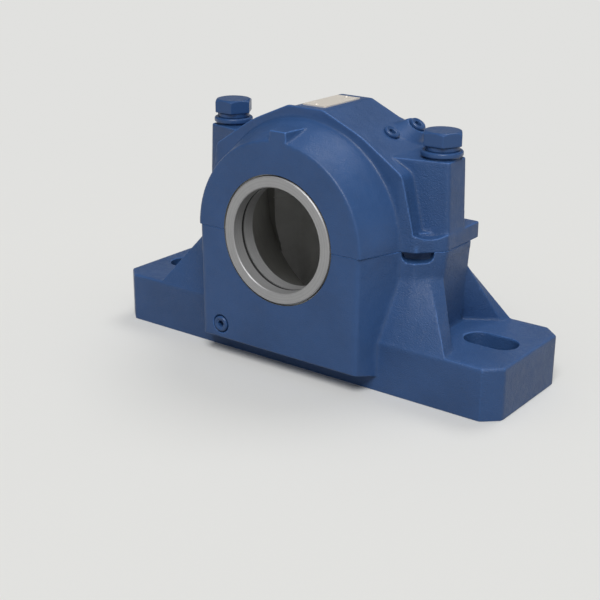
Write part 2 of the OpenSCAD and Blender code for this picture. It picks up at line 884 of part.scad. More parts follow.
base();
cap();
cap_bolt(-1, bolt_turn[0]);  // cap_bolt_left
cap_bolt(1, bolt_turn[1]);  // cap_bolt_right
lock_washer(-1);  // lock_washer_left
lock_washer(1);  // lock_washer_right
flat_washer(-1);  // flat_washer_left
flat_washer(1);  // flat_washer_right
dowel_pin(-1);  // dowel_pin_left
dowel_pin(1);  // dowel_pin_right
seal_ring();  // seal_ring_front
mirror([0, 1, 0]) seal_ring();  // seal_ring_rear
o_ring();  // o_ring_front
mirror([0, 1, 0]) o_ring();  // o_ring_rear
cap_plug(plug_front_at, 0);  // cap_plug_front
cap_plug(plug_rear_at, plug_boss_h);  // cap_plug_rear
drain_plug();
nameplate();
plate_rivet(-1);  // plate_rivet_front
plate_rivet(1);  // plate_rivet_rear
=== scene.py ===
"""Split plummer block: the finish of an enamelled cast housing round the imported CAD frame."""

import json
import math

import bmesh
import bpy
import numpy as np
import openvdb
from bpy.props import FloatProperty, FloatVectorProperty, PointerProperty
from mathutils import Matrix, Vector

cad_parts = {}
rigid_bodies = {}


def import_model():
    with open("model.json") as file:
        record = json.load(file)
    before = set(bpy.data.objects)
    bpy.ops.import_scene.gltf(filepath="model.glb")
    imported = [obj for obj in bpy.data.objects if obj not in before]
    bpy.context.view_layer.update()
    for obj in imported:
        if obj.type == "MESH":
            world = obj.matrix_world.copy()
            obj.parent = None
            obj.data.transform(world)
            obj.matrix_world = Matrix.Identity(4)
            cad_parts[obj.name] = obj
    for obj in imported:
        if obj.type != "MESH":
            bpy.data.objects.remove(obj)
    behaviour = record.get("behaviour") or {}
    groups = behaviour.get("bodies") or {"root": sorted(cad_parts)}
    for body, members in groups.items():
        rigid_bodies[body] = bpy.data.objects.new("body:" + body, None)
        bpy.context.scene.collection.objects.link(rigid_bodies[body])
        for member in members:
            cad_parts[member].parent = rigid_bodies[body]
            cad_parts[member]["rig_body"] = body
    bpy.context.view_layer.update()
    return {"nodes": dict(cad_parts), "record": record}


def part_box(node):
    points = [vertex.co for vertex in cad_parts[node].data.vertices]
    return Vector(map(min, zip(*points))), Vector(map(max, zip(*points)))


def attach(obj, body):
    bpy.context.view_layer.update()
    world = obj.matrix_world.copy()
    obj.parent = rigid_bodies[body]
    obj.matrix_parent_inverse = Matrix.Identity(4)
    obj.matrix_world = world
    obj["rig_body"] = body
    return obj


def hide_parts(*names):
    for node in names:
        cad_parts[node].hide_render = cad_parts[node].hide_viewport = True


bl_info = {
    "name": "Split plummer block",
    "version": (1, 0, 0),
    "blender": (4, 5, 0),
    "location": "3D View > Sidebar > Housing",
    "description": "Casts, machines, paints and lights a split plummer block round its CAD frame",
    "category": "Object",
}

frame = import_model()

MM = 0.001
MOUNTS = {m["name"]: m for m in frame["record"]["mounts"]}
SHAFT_Z = MOUNTS["bearing_seat"]["pos_m"][2] / MM
SEAT_R = MOUNTS["bearing_seat"]["dims"]["r_mm"]
SEAT_HALF = MOUNTS["bearing_seat"]["dims"]["length_mm"] / 2

# A corner this near a plane lies on it, in millimetres.
ON_PLANE = 0.02

# Stock is metal that fills the castings' bores before they are cut, so that they come out crisp.
# It reaches past the split and past the bores by these amounts, in millimetres.
STOCK_PAST_SPLIT = 12.0
END_STOCK = 2.0
SEAT_STOCK_INSET, SEAT_STOCK_HALF = 1.0, 4.0

# The end walls' bores lie within this share of the seat's radius, and open with a shallow relief
# round each seal ring. The cutter runs out past the mouth. All but the share in millimetres.
END_BORE_LIMIT = 0.72
MOUTH_DEPTH, MOUTH_GAP = 2.4, 0.9
BORE_OVERRUN = 4.0

# A broken edge goes inward by this share of its depth.
EDGE_BREAK_INWARD = 0.8

# Inner walls are primed from this height up. A primed stretch reaches a little past its corner at
# the seat's sides, at the split and at the room's ends. It lies within just over the seat's radius
# at the seat, within less beside it, and within less again below the split. All in millimetres.
PRIMED_ABOVE = 13.0
PAST_SEAT, PAST_SPLIT, PAST_ROOM = 0.6, 0.7, 0.4
SEAT_REACH, ROOM_INSET, LOWER_INSET = 1.0, 3.0, 2.0

# A smooth normal whose cosine to its face is less than this gives way to the face's own.
LEAST_AGREEMENT = 0.82

# Cap bolts: the shank's radius in millimetres, the thread's depth as a share of its pitch, how
# steep its flanks are, how much of a ridge is flat, and the slope that keeps distances true.
SHANK_R = 9.525
THREAD_DEPTH = 0.55
THREAD_FLANK, THREAD_FLAT = 1.25, 0.12
THREAD_SLOPE = 0.8

# Materials: most of a noise texture's values lie between these two. The cast skin is smooth to
# this far either side of the middle, and sandy from the second distance on, in metres.
NOISE_LOW, NOISE_HIGH = 0.3, 0.7
SMOOTH_TO, SANDY_FROM = 0.084, 0.1

# Stage, in metres. The two far lamps have only a direction, and the fill lamp faces a point.
KEY_DIRECTION = (0.26, -0.5, 0.83)
BACK_DIRECTION = (0.05, 0.5, 0.86)
FILL_PLACE, FILL_TARGET, FILL_SIZE = (0.42, -0.43, 0.6), (0.12, 0, 0.1), 0.25
FLOOR_REACH = 40.0
PLAIN_FROM, PLAIN_BEYOND = 0.3, 0.9

# World: how bright its low surround and the studio overhead look, the heights of a ray between
# which one turns into the other, and how much light it gives.
SURROUND_BRIGHTNESS, OVERHEAD_BRIGHTNESS = 0.95, 0.12
SURROUND_TOP, OVERHEAD_FROM = 0.08, 0.2
WORLD_LIGHT = 0.38


def linear(hex_colour):
    """Linear RGBA of an sRGB hex colour."""
    parts = [int(hex_colour[i:i + 2], 16) / 255 for i in (1, 3, 5)]
    return [c / 12.92 if c <= 0.04045 else ((c + 0.055) / 1.055) ** 2.4 for c in parts] + [1.0]


# Sizes and colours


class CastingSettings(bpy.types.PropertyGroup):
    """How the sand castings come out of the mould."""

    voxel: FloatProperty(
        name="Mesh pitch",
        description="Pitch of the grid that the castings are meshed on, in millimetres",
        default=0.6, min=0.5, max=2.0)
    softness: FloatProperty(
        name="Edge softness",
        description="Spread of the rounding on outer cast edges, in millimetres",
        default=0.4, min=0.3, max=2.5)
    fillet: FloatProperty(
        name="Fillet", description="Spread of the fillets in inner cast corners, in millimetres",
        default=1.15, min=0.4, max=3.0)
    edge_break: FloatProperty(
        name="Edge break",
        description="Width of the broken edge round the machined faces, in millimetres",
        default=0.6, min=0.0, max=1.5)
    paint: FloatVectorProperty(
        name="Enamel", description="Colour of the machine enamel",
        subtype="COLOR", size=4, min=0, max=1, default=linear("#2E4D7B"))
    primer: FloatVectorProperty(
        name="Inside", description="Colour of the grey primer inside the housing",
        subtype="COLOR", size=4, min=0, max=1, default=linear("#DEDEDD"))
    machined: FloatVectorProperty(
        name="Machined iron", description="Colour of the bare iron where the castings are machined",
        subtype="COLOR", size=4, min=0, max=1, default=linear("#A6A6A3"))


class HardwareSettings(bpy.types.PropertyGroup):
    """Bolts, washers and plugs, which are painted together with the housing."""

    voxel: FloatProperty(
        name="Mesh pitch",
        description="Pitch of the grid that the hardware is meshed on, in millimetres",
        default=0.33, min=0.25, max=1.0)
    softness: FloatProperty(
        name="Paint softness",
        description="Spread of the rounding that the paint gives the edges, in millimetres",
        default=0.21, min=0.15, max=1.0)
    thread_pitch: FloatProperty(
        name="Thread pitch", description="Pitch of the cap bolts' thread, in millimetres",
        default=2.54, min=1.5, max=3.5)
    thread_length: FloatProperty(
        name="Thread length", description="Length of the cap bolts' thread, in millimetres",
        default=52.0, min=30.0, max=70.0)


class SealSettings(bpy.types.PropertyGroup):
    """Turned seal rings, their O-rings, the dowel pins and the nameplate."""

    steel: FloatVectorProperty(
        name="Turned steel", description="Colour of the bare turned steel",
        subtype="COLOR", size=4, min=0, max=1, default=linear("#A9A9AA"))
    rubber: FloatVectorProperty(
        name="Rubber", description="Colour of the O-rings",
        subtype="COLOR", size=4, min=0, max=1, default=linear("#0E0E0F"))
    plate: FloatVectorProperty(
        name="Plate", description="Colour of the nameplate's metal",
        subtype="COLOR", size=4, min=0, max=1, default=linear("#E4DDD3"))


class StageSettings(bpy.types.PropertyGroup):
    """Camera, floor and lamps."""

    azimuth: FloatProperty(
        name="Azimuth", description="Turn of the camera about Z from the housing's front",
        subtype="ANGLE", default=0.6413)
    elevation: FloatProperty(
        name="Elevation", description="Height of the camera above the horizon",
        subtype="ANGLE", default=0.3507)
    roll: FloatProperty(
        name="Roll", description="Roll of the camera about its own axis",
        subtype="ANGLE", default=0.0064)
    distance: FloatProperty(
        name="Distance", description="Distance from the camera to the point it looks at",
        unit="LENGTH", default=1.0612, min=0.3)
    lens: FloatProperty(
        name="Focal length", description="Focal length on a 36 mm sensor, in millimetres",
        unit="CAMERA", default=71.905, min=20)
    target: FloatVectorProperty(
        name="Target", description="Point that the camera looks at",
        subtype="TRANSLATION", size=3, default=(-0.03166, 0.0, 0.03528))
    floor: FloatVectorProperty(
        name="Floor", description="Colour of the floor and the background",
        subtype="COLOR", size=4, min=0, max=1, default=linear("#E6E6E4"))
    key_strength: FloatProperty(
        name="Key light",
        description="Strength of the wide soft lamp above the camera, in watts per square metre",
        default=1.75, min=0)
    key_width: FloatProperty(
        name="Lamp width", description="How wide the key and back lights look from the housing",
        subtype="ANGLE", default=0.5, min=0.1, max=1.5)
    fill_power: FloatProperty(
        name="Fill light", description="Power of the small soft lamp at the front right",
        unit="POWER", default=1.6, min=0)
    back_strength: FloatProperty(
        name="Back light",
        description="Strength of the wide soft lamp behind, in watts per square metre",
        default=0.55, min=0)


# Materials


def add_node(tree, kind, settings=None, **inputs):
    """Adds a node, sets its properties, and sets or links its inputs by name or number."""
    node = tree.nodes.new(kind)
    for name, value in (settings or {}).items():
        setattr(node, name, value)
    set_inputs(tree, node, **inputs)
    return node


def set_inputs(tree, node, **inputs):
    """Sets or links a node's inputs, named with _ for a space, or numbered as in _0."""
    for name, value in inputs.items():
        socket = node.inputs[int(name[1:]) if name[1:].isdigit() else name.replace("_", " ")]
        if isinstance(value, bpy.types.NodeSocket):
            tree.links.new(value, socket)
        else:
            socket.default_value = value


def new_material(name, viewport_colour):
    """A new material, its node tree and its Principled shader."""
    material = bpy.data.materials.new(name)
    material.use_nodes = True
    material.diffuse_color = viewport_colour
    tree = material.node_tree
    return material, tree, tree.nodes["Principled BSDF"]


def grain(tree, size_mm, detail=2.0, roughness=0.5, stretch=(1, 1, 1), span=None):
    """Noise in object space with lumps about size_mm across, drawn out over a span if one is given."""
    coords = add_node(tree, "ShaderNodeTexCoord").outputs["Object"]
    scaled = add_node(
        tree, "ShaderNodeMapping", _0=coords, Scale=[s / (size_mm * MM) for s in stretch])
    noise = add_node(
        tree, "ShaderNodeTexNoise",
        _0=scaled.outputs[0], Scale=1.0, Detail=detail, Roughness=roughness)
    if span is None:
        return noise.outputs["Fac"]
    return add_node(
        tree, "ShaderNodeMapRange", Value=noise.outputs["Fac"],
        From_Min=NOISE_LOW, From_Max=NOISE_HIGH, To_Min=span[0], To_Max=span[1]).outputs[0]


def toned(tree, colour, pattern, first, second):
    """The colour in two shades, one where the pattern is low and one where it is high."""
    return add_node(
        tree, "ShaderNodeMix", {"data_type": "RGBA"},
        _0=pattern, _6=shaded(colour, first), _7=shaded(colour, second)).outputs[2]


def edge_highlight_and_corner_shade(tree, tone, *bands):
    """The tone with a painted highlight laid over sharp edges and painted shade in inner corners.

    The attribute "edge" is positive on outer edges and negative in inner corners. A band gives
    where its colour starts, where it is strongest, its share there, and the colour.
    """
    edge = add_node(tree, "ShaderNodeAttribute", {"attribute_name": "edge"}).outputs["Fac"]
    for begin, full, share, colour in bands:
        cover = add_node(
            tree, "ShaderNodeMapRange",
            Value=edge, From_Min=begin, From_Max=full, To_Min=0, To_Max=share).outputs[0]
        tone = add_node(
            tree, "ShaderNodeMix", {"data_type": "RGBA"}, _0=cover, _6=tone, _7=colour).outputs[2]
    return tone


def shaded(colour, factor):
    """colour made lighter or darker by factor."""
    return [min(1.0, c * factor) for c in colour[:3]] + [1.0]


def enamelled_cast_iron(settings):
    """Machine enamel sprayed on sand-cast grey iron.

    The sand leaves a pebbled skin under the paint, with lumps about 1.5 mm across, and a slower
    unevenness of some 11 mm. The middle of the housing is smoother than its feet and towers.
    Outer edges are drawn a lighter blue as a painted highlight, and inner corners darker as painted
    shade.
    """
    paint = list(settings.paint)
    material, tree, shader = new_material("enamelled_cast_iron", paint)
    clouds = add_node(
        tree, "ShaderNodeMapRange",
        Value=grain(tree, 45, 3), From_Min=0.35, From_Max=0.65, To_Min=0, To_Max=1).outputs[0]
    # Lighter blue on the outer edges is a painted highlight; darker blue in the inner corners is
    # painted shade.
    tone = edge_highlight_and_corner_shade(
        tree, toned(tree, paint, clouds, 0.95, 1.1),
        (0.03, 0.15, 0.85, shaded(paint, 2.1)), (-0.1, -0.6, 0.55, shaded(paint, 0.5)))
    place = add_node(
        tree, "ShaderNodeSeparateXYZ", _0=add_node(tree, "ShaderNodeTexCoord").outputs["Object"])
    side = add_node(
        tree, "ShaderNodeMath", {"operation": "ABSOLUTE"}, _0=place.outputs[0]).outputs[0]
    sandy = add_node(
        tree, "ShaderNodeMapRange",
        Value=side, From_Min=SMOOTH_TO, From_Max=SANDY_FROM, To_Min=0.35, To_Max=1.0).outputs[0]
    pebbles = add_node(
        tree, "ShaderNodeBump", Strength=sandy, Distance=0.0007,
        Height=grain(tree, 1.5, 3, 0.6, (1, 1, 1.6)))
    slow = add_node(
        tree, "ShaderNodeBump", Strength=0.35, Distance=0.0012,
        Height=grain(tree, 11, 2), Normal=pebbles.outputs[0]).outputs[0]
    set_inputs(
        tree, shader,
        Base_Color=tone, IOR=1.45, Specular_IOR_Level=0.42, Coat_Weight=0.08, Coat_Roughness=0.16,
        Roughness=grain(tree, 6, 3, span=(0.36, 0.48)), Normal=slow, Coat_Normal=slow)
    return material


def machined_cast_iron(settings):
    """Grey iron milled and bored after casting: bare, satin, with tool marks about 0.8 mm apart."""
    iron = list(settings.machined)
    material, tree, shader = new_material("machined_cast_iron", iron)
    marks = grain(tree, 0.8, 2, stretch=(0.06, 1, 0.06))
    bump = add_node(tree, "ShaderNodeBump", Strength=0.2, Distance=0.0001, Height=marks)
    set_inputs(
        tree, shader,
        Base_Color=toned(tree, iron, marks, 0.8, 1.1), Metallic=0.5,
        Roughness=grain(tree, 7, 3, span=(0.36, 0.52)), Normal=bump.outputs[0])
    return material


def primed_cast_iron(settings):
    """Inside walls left as cast and dipped in grey primer, matt and sandy."""
    primer = list(settings.primer)
    material, tree, shader = new_material("primed_cast_iron", primer)
    bump = add_node(
        tree, "ShaderNodeBump", Strength=0.5, Distance=0.0006, Height=grain(tree, 1.5, 3, 0.6))
    set_inputs(
        tree, shader,
        Base_Color=toned(tree, primer, grain(tree, 12, 4), 0.85, 1.12),
        Roughness=0.6, IOR=1.48, Normal=bump.outputs[0])
    return material


def enamelled_steel(settings):
    """The same enamel over forged and turned steel: smoother, with sags of a few millimetres."""
    paint = list(settings.paint)
    material, tree, shader = new_material("enamelled_steel", paint)
    # Lighter blue on the outer edges is a painted highlight; darker blue in the inner corners is
    # painted shade.
    tone = edge_highlight_and_corner_shade(
        tree, shaded(paint, 0.97),
        (0.02, 0.09, 0.7, shaded(paint, 1.9)), (-0.04, -0.2, 0.4, shaded(paint, 0.55)))
    bump = add_node(
        tree, "ShaderNodeBump", Strength=0.3, Distance=0.0003, Height=grain(tree, 2.2, 2))
    set_inputs(
        tree, shader,
        Base_Color=tone, IOR=1.46, Specular_IOR_Level=0.35, Coat_Weight=0.15, Coat_Roughness=0.16,
        Roughness=grain(tree, 4, 2, span=(0.3, 0.42)), Normal=bump.outputs[0])
    return material


def turned_steel(settings):
    """Bare steel turned on a lathe: fine rings left by the tool, drawn 0.5 mm apart to show."""
    steel = list(settings.steel)
    material, tree, shader = new_material("turned_steel", steel)
    coords = add_node(tree, "ShaderNodeTexCoord").outputs["Object"]
    centred = add_node(tree, "ShaderNodeMapping", _0=coords, Location=(0, 0, -SHAFT_Z * MM))
    split = add_node(tree, "ShaderNodeSeparateXYZ", _0=centred.outputs[0]).outputs
    flat = add_node(tree, "ShaderNodeCombineXYZ", _0=split[0], _1=split[2])
    radius = add_node(
        tree, "ShaderNodeVectorMath", {"operation": "LENGTH"}, _0=flat.outputs[0])
    travel = add_node(
        tree, "ShaderNodeMath", {"operation": "ADD"}, _0=radius.outputs["Value"], _1=split[1])
    rings = add_node(tree, "ShaderNodeCombineXYZ", _0=travel.outputs[0])
    lines = add_node(
        tree, "ShaderNodeTexNoise",
        _0=rings.outputs[0], Scale=1 / (0.5 * MM), Detail=2.0).outputs["Fac"]
    clear_lines = add_node(
        tree, "ShaderNodeMapRange", Value=lines,
        From_Min=NOISE_LOW, From_Max=NOISE_HIGH, To_Min=0, To_Max=1).outputs[0]
    bump = add_node(tree, "ShaderNodeBump", Strength=0.3, Distance=0.0001, Height=lines)
    set_inputs(
        tree, shader,
        Base_Color=toned(tree, steel, clear_lines, 0.72, 1.12), Metallic=0.5,
        Roughness=grain(tree, 5, 3, span=(0.42, 0.54)), Normal=bump.outputs[0])
    return material


def nitrile_rubber(settings):
    """Moulded nitrile rubber: black, dull, with a faint bloom."""
    rubber = list(settings.rubber)
    material, tree, shader = new_material("nitrile_rubber", rubber)
    bump = add_node(
        tree, "ShaderNodeBump", Strength=0.2, Distance=0.0001, Height=grain(tree, 0.5, 2))
    set_inputs(
        tree, shader,
        Base_Color=toned(tree, rubber, grain(tree, 3, 2), 1.0, 1.6),
        Roughness=0.7, IOR=1.52, Normal=bump.outputs[0])
    return material


def rolled_aluminium(settings):
    """Rolled aluminium sheet, matt, with the rolling lines along its length."""
    plate = list(settings.plate)
    material, tree, shader = new_material("rolled_aluminium", plate)
    along = (1, 0.03, 1)
    lines = grain(tree, 0.6, 2, stretch=along)
    bump = add_node(tree, "ShaderNodeBump", Strength=0.15, Distance=0.0001, Height=lines)
    set_inputs(
        tree, shader,
        Base_Color=toned(tree, plate, lines, 0.9, 1.04), Metallic=0.3,
        Roughness=grain(tree, 0.6, 2, stretch=along, span=(0.45, 0.58)), Normal=bump.outputs[0])
    return material


MAKERS = {
    "casting": (enamelled_cast_iron, "casting"),
    "machined": (machined_cast_iron, "casting"),
    "primed": (primed_cast_iron, "casting"),
    "hardware": (enamelled_steel, "casting"),
    "steel": (turned_steel, "seals"),
    "rubber": (nitrile_rubber, "seals"),
    "plate": (rolled_aluminium, "seals"),
}
materials = {}


def material_of(kind):
    """The scene's one material of a kind, made when it is first asked for."""
    if kind not in materials:
        maker, group = MAKERS[kind]
        materials[kind] = maker(getattr(bpy.context.scene.plummer_block, group))
    return materials[kind]


# Surfaces meshed from a field of distances


def cad_triangles(node):
    """A CAD node's corners in millimetres and its triangles, with corners at one place joined."""
    mesh = frame["nodes"][node].data
    mesh.calc_loop_triangles()
    corners = np.empty(len(mesh.vertices) * 3)
    mesh.vertices.foreach_get("co", corners)
    corners = corners.reshape(-1, 3) / MM
    triangles = np.empty(len(mesh.loop_triangles) * 3, dtype=np.int32)
    mesh.loop_triangles.foreach_get("vertices", triangles)
    keys, index = np.unique(np.round(corners, 3), axis=0, return_inverse=True)
    triangles = index.reshape(-1)[triangles].reshape(-1, 3)
    sound = np.all(triangles != np.roll(triangles, 1, axis=1), axis=1)
    return keys, triangles[sound]


def carried_past(corners, triangles, height, overlap=6.0, reach=10.0):
    """A prism on the flat face at a height, which carries the walls past it. +reach goes up."""
    flat = np.all(np.abs(corners[triangles][:, :, 2] - height) < ON_PLANE, axis=1)
    face = triangles[flat]
    edges = {(a, b) for tri in face.tolist() for a, b in zip(tri, tri[1:] + tri[:1])}
    rim = [(a, b) for a, b in edges if (b, a) not in edges]
    near, far = corners.copy(), corners.copy()
    near[:, 2] = height - math.copysign(overlap, reach)
    far[:, 2] = height + reach
    count = len(corners)
    walls = [wall for a, b in rim for wall in ((a, b + count, b), (a, a + count, b + count))]
    shell = np.concatenate([face[:, ::-1], face + count, np.array(walls)])
    return np.concatenate([near, far]), shell


class Field:
    """Signed distance in millimetres on a dense grid, negative inside."""

    def __init__(self, corners, voxel, band):
        self.voxel, self.band = voxel, band
        self.low = np.floor(corners.min(0) / voxel).astype(int) - band - 2
        self.shape = np.ceil(corners.max(0) / voxel).astype(int) + band + 3 - self.low

    def distance_to(self, corners, triangles):
        """Distances to a closed mesh, exact to the edge of the band and level beyond it."""
        grid = openvdb.FloatGrid.createLevelSetFromPolygons(
            np.ascontiguousarray(corners, dtype=np.float64),
            triangles=np.ascontiguousarray(triangles, dtype=np.uint32),
            transform=openvdb.createLinearTransform(voxelSize=self.voxel),
            halfWidth=float(self.band))
        values = np.zeros(self.shape, dtype=np.float32)
        grid.copyToArray(values, ijk=tuple(int(i) for i in self.low))
        return values

    def axes(self):
        """The grid's coordinates in millimetres, ready to be broadcast."""
        lines = [(np.arange(n) + low) * self.voxel for n, low in zip(self.shape, self.low)]
        return (a.astype(np.float32) for a in np.meshgrid(*lines, indexing="ij", sparse=True))

    def sample(self, values, points):
        """Values between the grid's points."""
        q = points / self.voxel - self.low
        i = np.clip(np.floor(q).astype(int), 0, np.array(self.shape) - 2)
        t = q - i
        total = 0
        for corner in np.ndindex(2, 2, 2):
            weight = np.prod([t[:, a] if corner[a] else 1 - t[:, a] for a in range(3)], axis=0)
            total = total + weight * values[tuple((i + corner).T)]
        return total

    def slope(self, values, points):
        """Gradient of the values."""
        step = np.eye(3) * self.voxel * 0.75
        pairs = [self.sample(values, points + s) - self.sample(values, points - s) for s in step]
        return np.stack(pairs, axis=1) / (1.5 * self.voxel)


def softened(values, spread):
    """Values averaged with a bell curve whose spread is in grid steps."""
    reach = int(math.ceil(3 * spread))
    weights = np.exp(-0.5 * (np.arange(-reach, reach + 1) / spread) ** 2)
    weights /= weights.sum()
    for axis in range(3):
        pad = [(reach, reach) if a == axis else (0, 0) for a in range(3)]
        wide = np.pad(values, pad, mode="edge")
        length = values.shape[axis]
        values = sum(
            np.float32(w) * np.take(wide, range(k, k + length), axis=axis)
            for k, w in enumerate(weights))
    return values


def level_mesh(name, field, soft, adaptivity=0.1):
    """Mesh of the surface where the distances are zero, moved on to it exactly."""
    grid = openvdb.FloatGrid(float(field.band * field.voxel))
    grid.copyFromArray(
        np.ascontiguousarray(soft, dtype=np.float32), ijk=tuple(int(i) for i in field.low))
    grid.transform = openvdb.createLinearTransform(voxelSize=field.voxel)
    points, threes, fours = grid.convertToPolygons(isovalue=0.0, adaptivity=adaptivity)
    points = points.astype(float)
    for _ in range(2):
        slope = field.slope(soft, points)
        steepness = np.maximum((slope ** 2).sum(1), 0.05)
        step = field.sample(soft, points)[:, None] * slope / steepness[:, None]
        points -= np.clip(step, -0.4 * field.voxel, 0.4 * field.voxel)
    mesh = bpy.data.meshes.new(name)
    mesh.from_pydata(points.tolist(), [], threes.tolist() + fours.tolist())
    return mesh


def milled(mesh, field, soft, planes, edge_break):
    """Cuts the mesh off at machined planes, given as (height, +1 or -1 for the way they face)."""
    body = bmesh.new()
    body.from_mesh(mesh)
    bmesh.ops.recalc_face_normals(body, faces=body.faces[:])
    for height, way in planes:
        for depth, clear in ((edge_break, False), (0.0, True)):
            everything = body.verts[:] + body.edges[:] + body.faces[:]
            cut = bmesh.ops.bisect_plane(
                body, geom=everything, dist=1e-4, plane_co=(0, 0, height - way * depth),
                plane_no=(0, 0, way), clear_outer=clear)
        rim = [e for e in cut["geom_cut"] if isinstance(e, bmesh.types.BMEdge) and e.is_boundary]
        corners = list({v for e in rim for v in e.verts})
        slope = field.slope(soft, np.array([v.co for v in corners]))
        slope[:, 2] = 0
        slope /= np.maximum(np.linalg.norm(slope, axis=1), 1e-6)[:, None]
        for vert, out in zip(corners, slope):
            vert.co -= Vector(out) * edge_break * EDGE_BREAK_INWARD
        lid = bmesh.ops.triangle_fill(body, edges=rim, use_beauty=True, normal=(0, 0, way))
        for face in lid["geom"]:
            if isinstance(face, bmesh.types.BMFace):
                face.material_index = 1
    bmesh.ops.recalc_face_normals(body, faces=body.faces[:])
    body.to_mesh(mesh)
    body.free()


def lathe(name, rings, axis_point, segments=256):
    """A closed mesh turned round a line along Y from (y, radius) points. Radius 0 closes an end."""
    turn = np.linspace(0, 2 * math.pi, segments, endpoint=False)
    points, starts = [], []
    for y, r in rings:
        starts.append(len(points))
        if r:
            points += [
                (axis_point[0] + r * math.sin(t), y, axis_point[1] + r * math.cos(t)) for t in turn]
        else:
            points.append((axis_point[0], y, axis_point[1]))
    faces = []
    pairs = [(i, i + 1) for i in range(len(rings) - 1)]
    if rings[0][1] > 0:
        pairs.append((len(rings) - 1, 0))
    for i, j in pairs:
        for k in range(segments):
            n = (k + 1) % segments
            a = [starts[i] + k, starts[i] + n] if rings[i][1] else [starts[i]]
            b = [starts[j] + n, starts[j] + k] if rings[j][1] else [starts[j]]
            faces.append(a + b)
    mesh = bpy.data.meshes.new(name)
    mesh.from_pydata(points, [], faces)
    body = bmesh.new()
    body.from_mesh(mesh)
    bmesh.ops.recalc_face_normals(body, faces=body.faces[:])
    body.to_mesh(mesh)
    body.free()
    return mesh


def bored(mesh, cutter):
    """The mesh with the cutter's shape taken out of it; the new faces have the second material."""
    for part in (mesh, cutter):
        for kind in ("casting", "machined", "primed"):
            part.materials.append(material_of(kind))
    cutter.polygons.foreach_set("material_index", [1] * len(cutter.polygons))
    holder = bpy.data.objects.new("blank", mesh)
    tool = bpy.data.objects.new("cutter", cutter)
    for thing in (holder, tool):
        bpy.context.scene.collection.objects.link(thing)
    cut = holder.modifiers.new("cut", "BOOLEAN")
    cut.operation, cut.solver, cut.object = "DIFFERENCE", "MANIFOLD", tool
    result = bpy.data.meshes.new_from_object(
        holder.evaluated_get(bpy.context.evaluated_depsgraph_get()))
    if len(result.polygons) == 0 or max(p.material_index for p in result.polygons) == 0:
        raise RuntimeError("The bores could not be cut")
    for thing in (holder, tool):
        bpy.data.objects.remove(thing)
    return result


def read(source, name, width, kind=float):
    """One property of all of a mesh's elements, as an array."""
    values = np.empty(len(source) * width, dtype=kind)
    source.foreach_get(name, values)
    return values.reshape(-1, width) if width > 1 else values


def dress(mesh, field, soft, exact):
    """Gives the mesh its normals and its "edge" attribute.

    The normals are the field's own, or turned and flat ones where the mesh is machined. The
    attribute says in millimetres how deep a point of the softened skin lies under the sharp one.
    """
    points = read(mesh.vertices, "co", 3)
    normals = field.slope(soft, points)
    normals /= np.maximum(np.linalg.norm(normals, axis=1), 1e-9)[:, None]
    totals = read(mesh.polygons, "loop_total", 1, np.int32)
    face_of = np.repeat(np.arange(len(totals)), totals)
    corner = read(mesh.loops, "vertex_index", 1, np.int32)
    flat = read(mesh.polygons, "normal", 3)[face_of]
    machined = read(mesh.polygons, "material_index", 1, np.int32)[face_of] == 1
    shown = normals[corner]
    stray = (shown * flat).sum(1) < LEAST_AGREEMENT
    shown[stray] = flat[stray]
    radial = points[corner] - (0, 0, SHAFT_Z)
    radial[:, 1] = 0
    radial /= np.maximum(np.linalg.norm(radial, axis=1), 1e-9)[:, None]
    radial *= np.sign((radial * flat).sum(1))[:, None]
    turned = radial * np.sqrt(np.clip(1 - flat[:, 1:2] ** 2, 0, 1)) + flat * (0, 1, 0)
    level = machined & (np.abs(flat[:, 2]) > 0.999)
    shown[machined] = turned[machined]
    shown[level] = flat[level]
    mesh.polygons.foreach_set("use_smooth", np.ones(len(totals), dtype=bool))
    mesh.normals_split_custom_set(shown.tolist())
    edge = -field.sample(exact, points)
    mesh.attributes.new("edge", "FLOAT", "POINT").data.foreach_set("value", edge.astype(np.float32))


def placed(name, mesh):
    """A new object of a mesh in millimetres."""
    mesh.name = name
    mesh.transform(Matrix.Scale(MM, 4))
    piece = bpy.data.objects.new(name, mesh)
    bpy.context.scene.collection.objects.link(piece)
    return piece


# Castings


def turned_steps(corners):
    """Ends of the steps in an end wall's bore, and the radii of its narrow and wide steps."""
    r = np.hypot(corners[:, 0], corners[:, 2] - SHAFT_Z)
    depth = np.abs(corners[:, 1])
    wall = (r < SEAT_R * END_BORE_LIMIT) & (depth > SEAT_HALF + 5)
    ends = np.unique(np.round(depth[wall], 1))
    ends = ends[np.concatenate([[True], np.diff(ends) > 0.5])]
    return ends, r[wall].min(), r[wall].max()


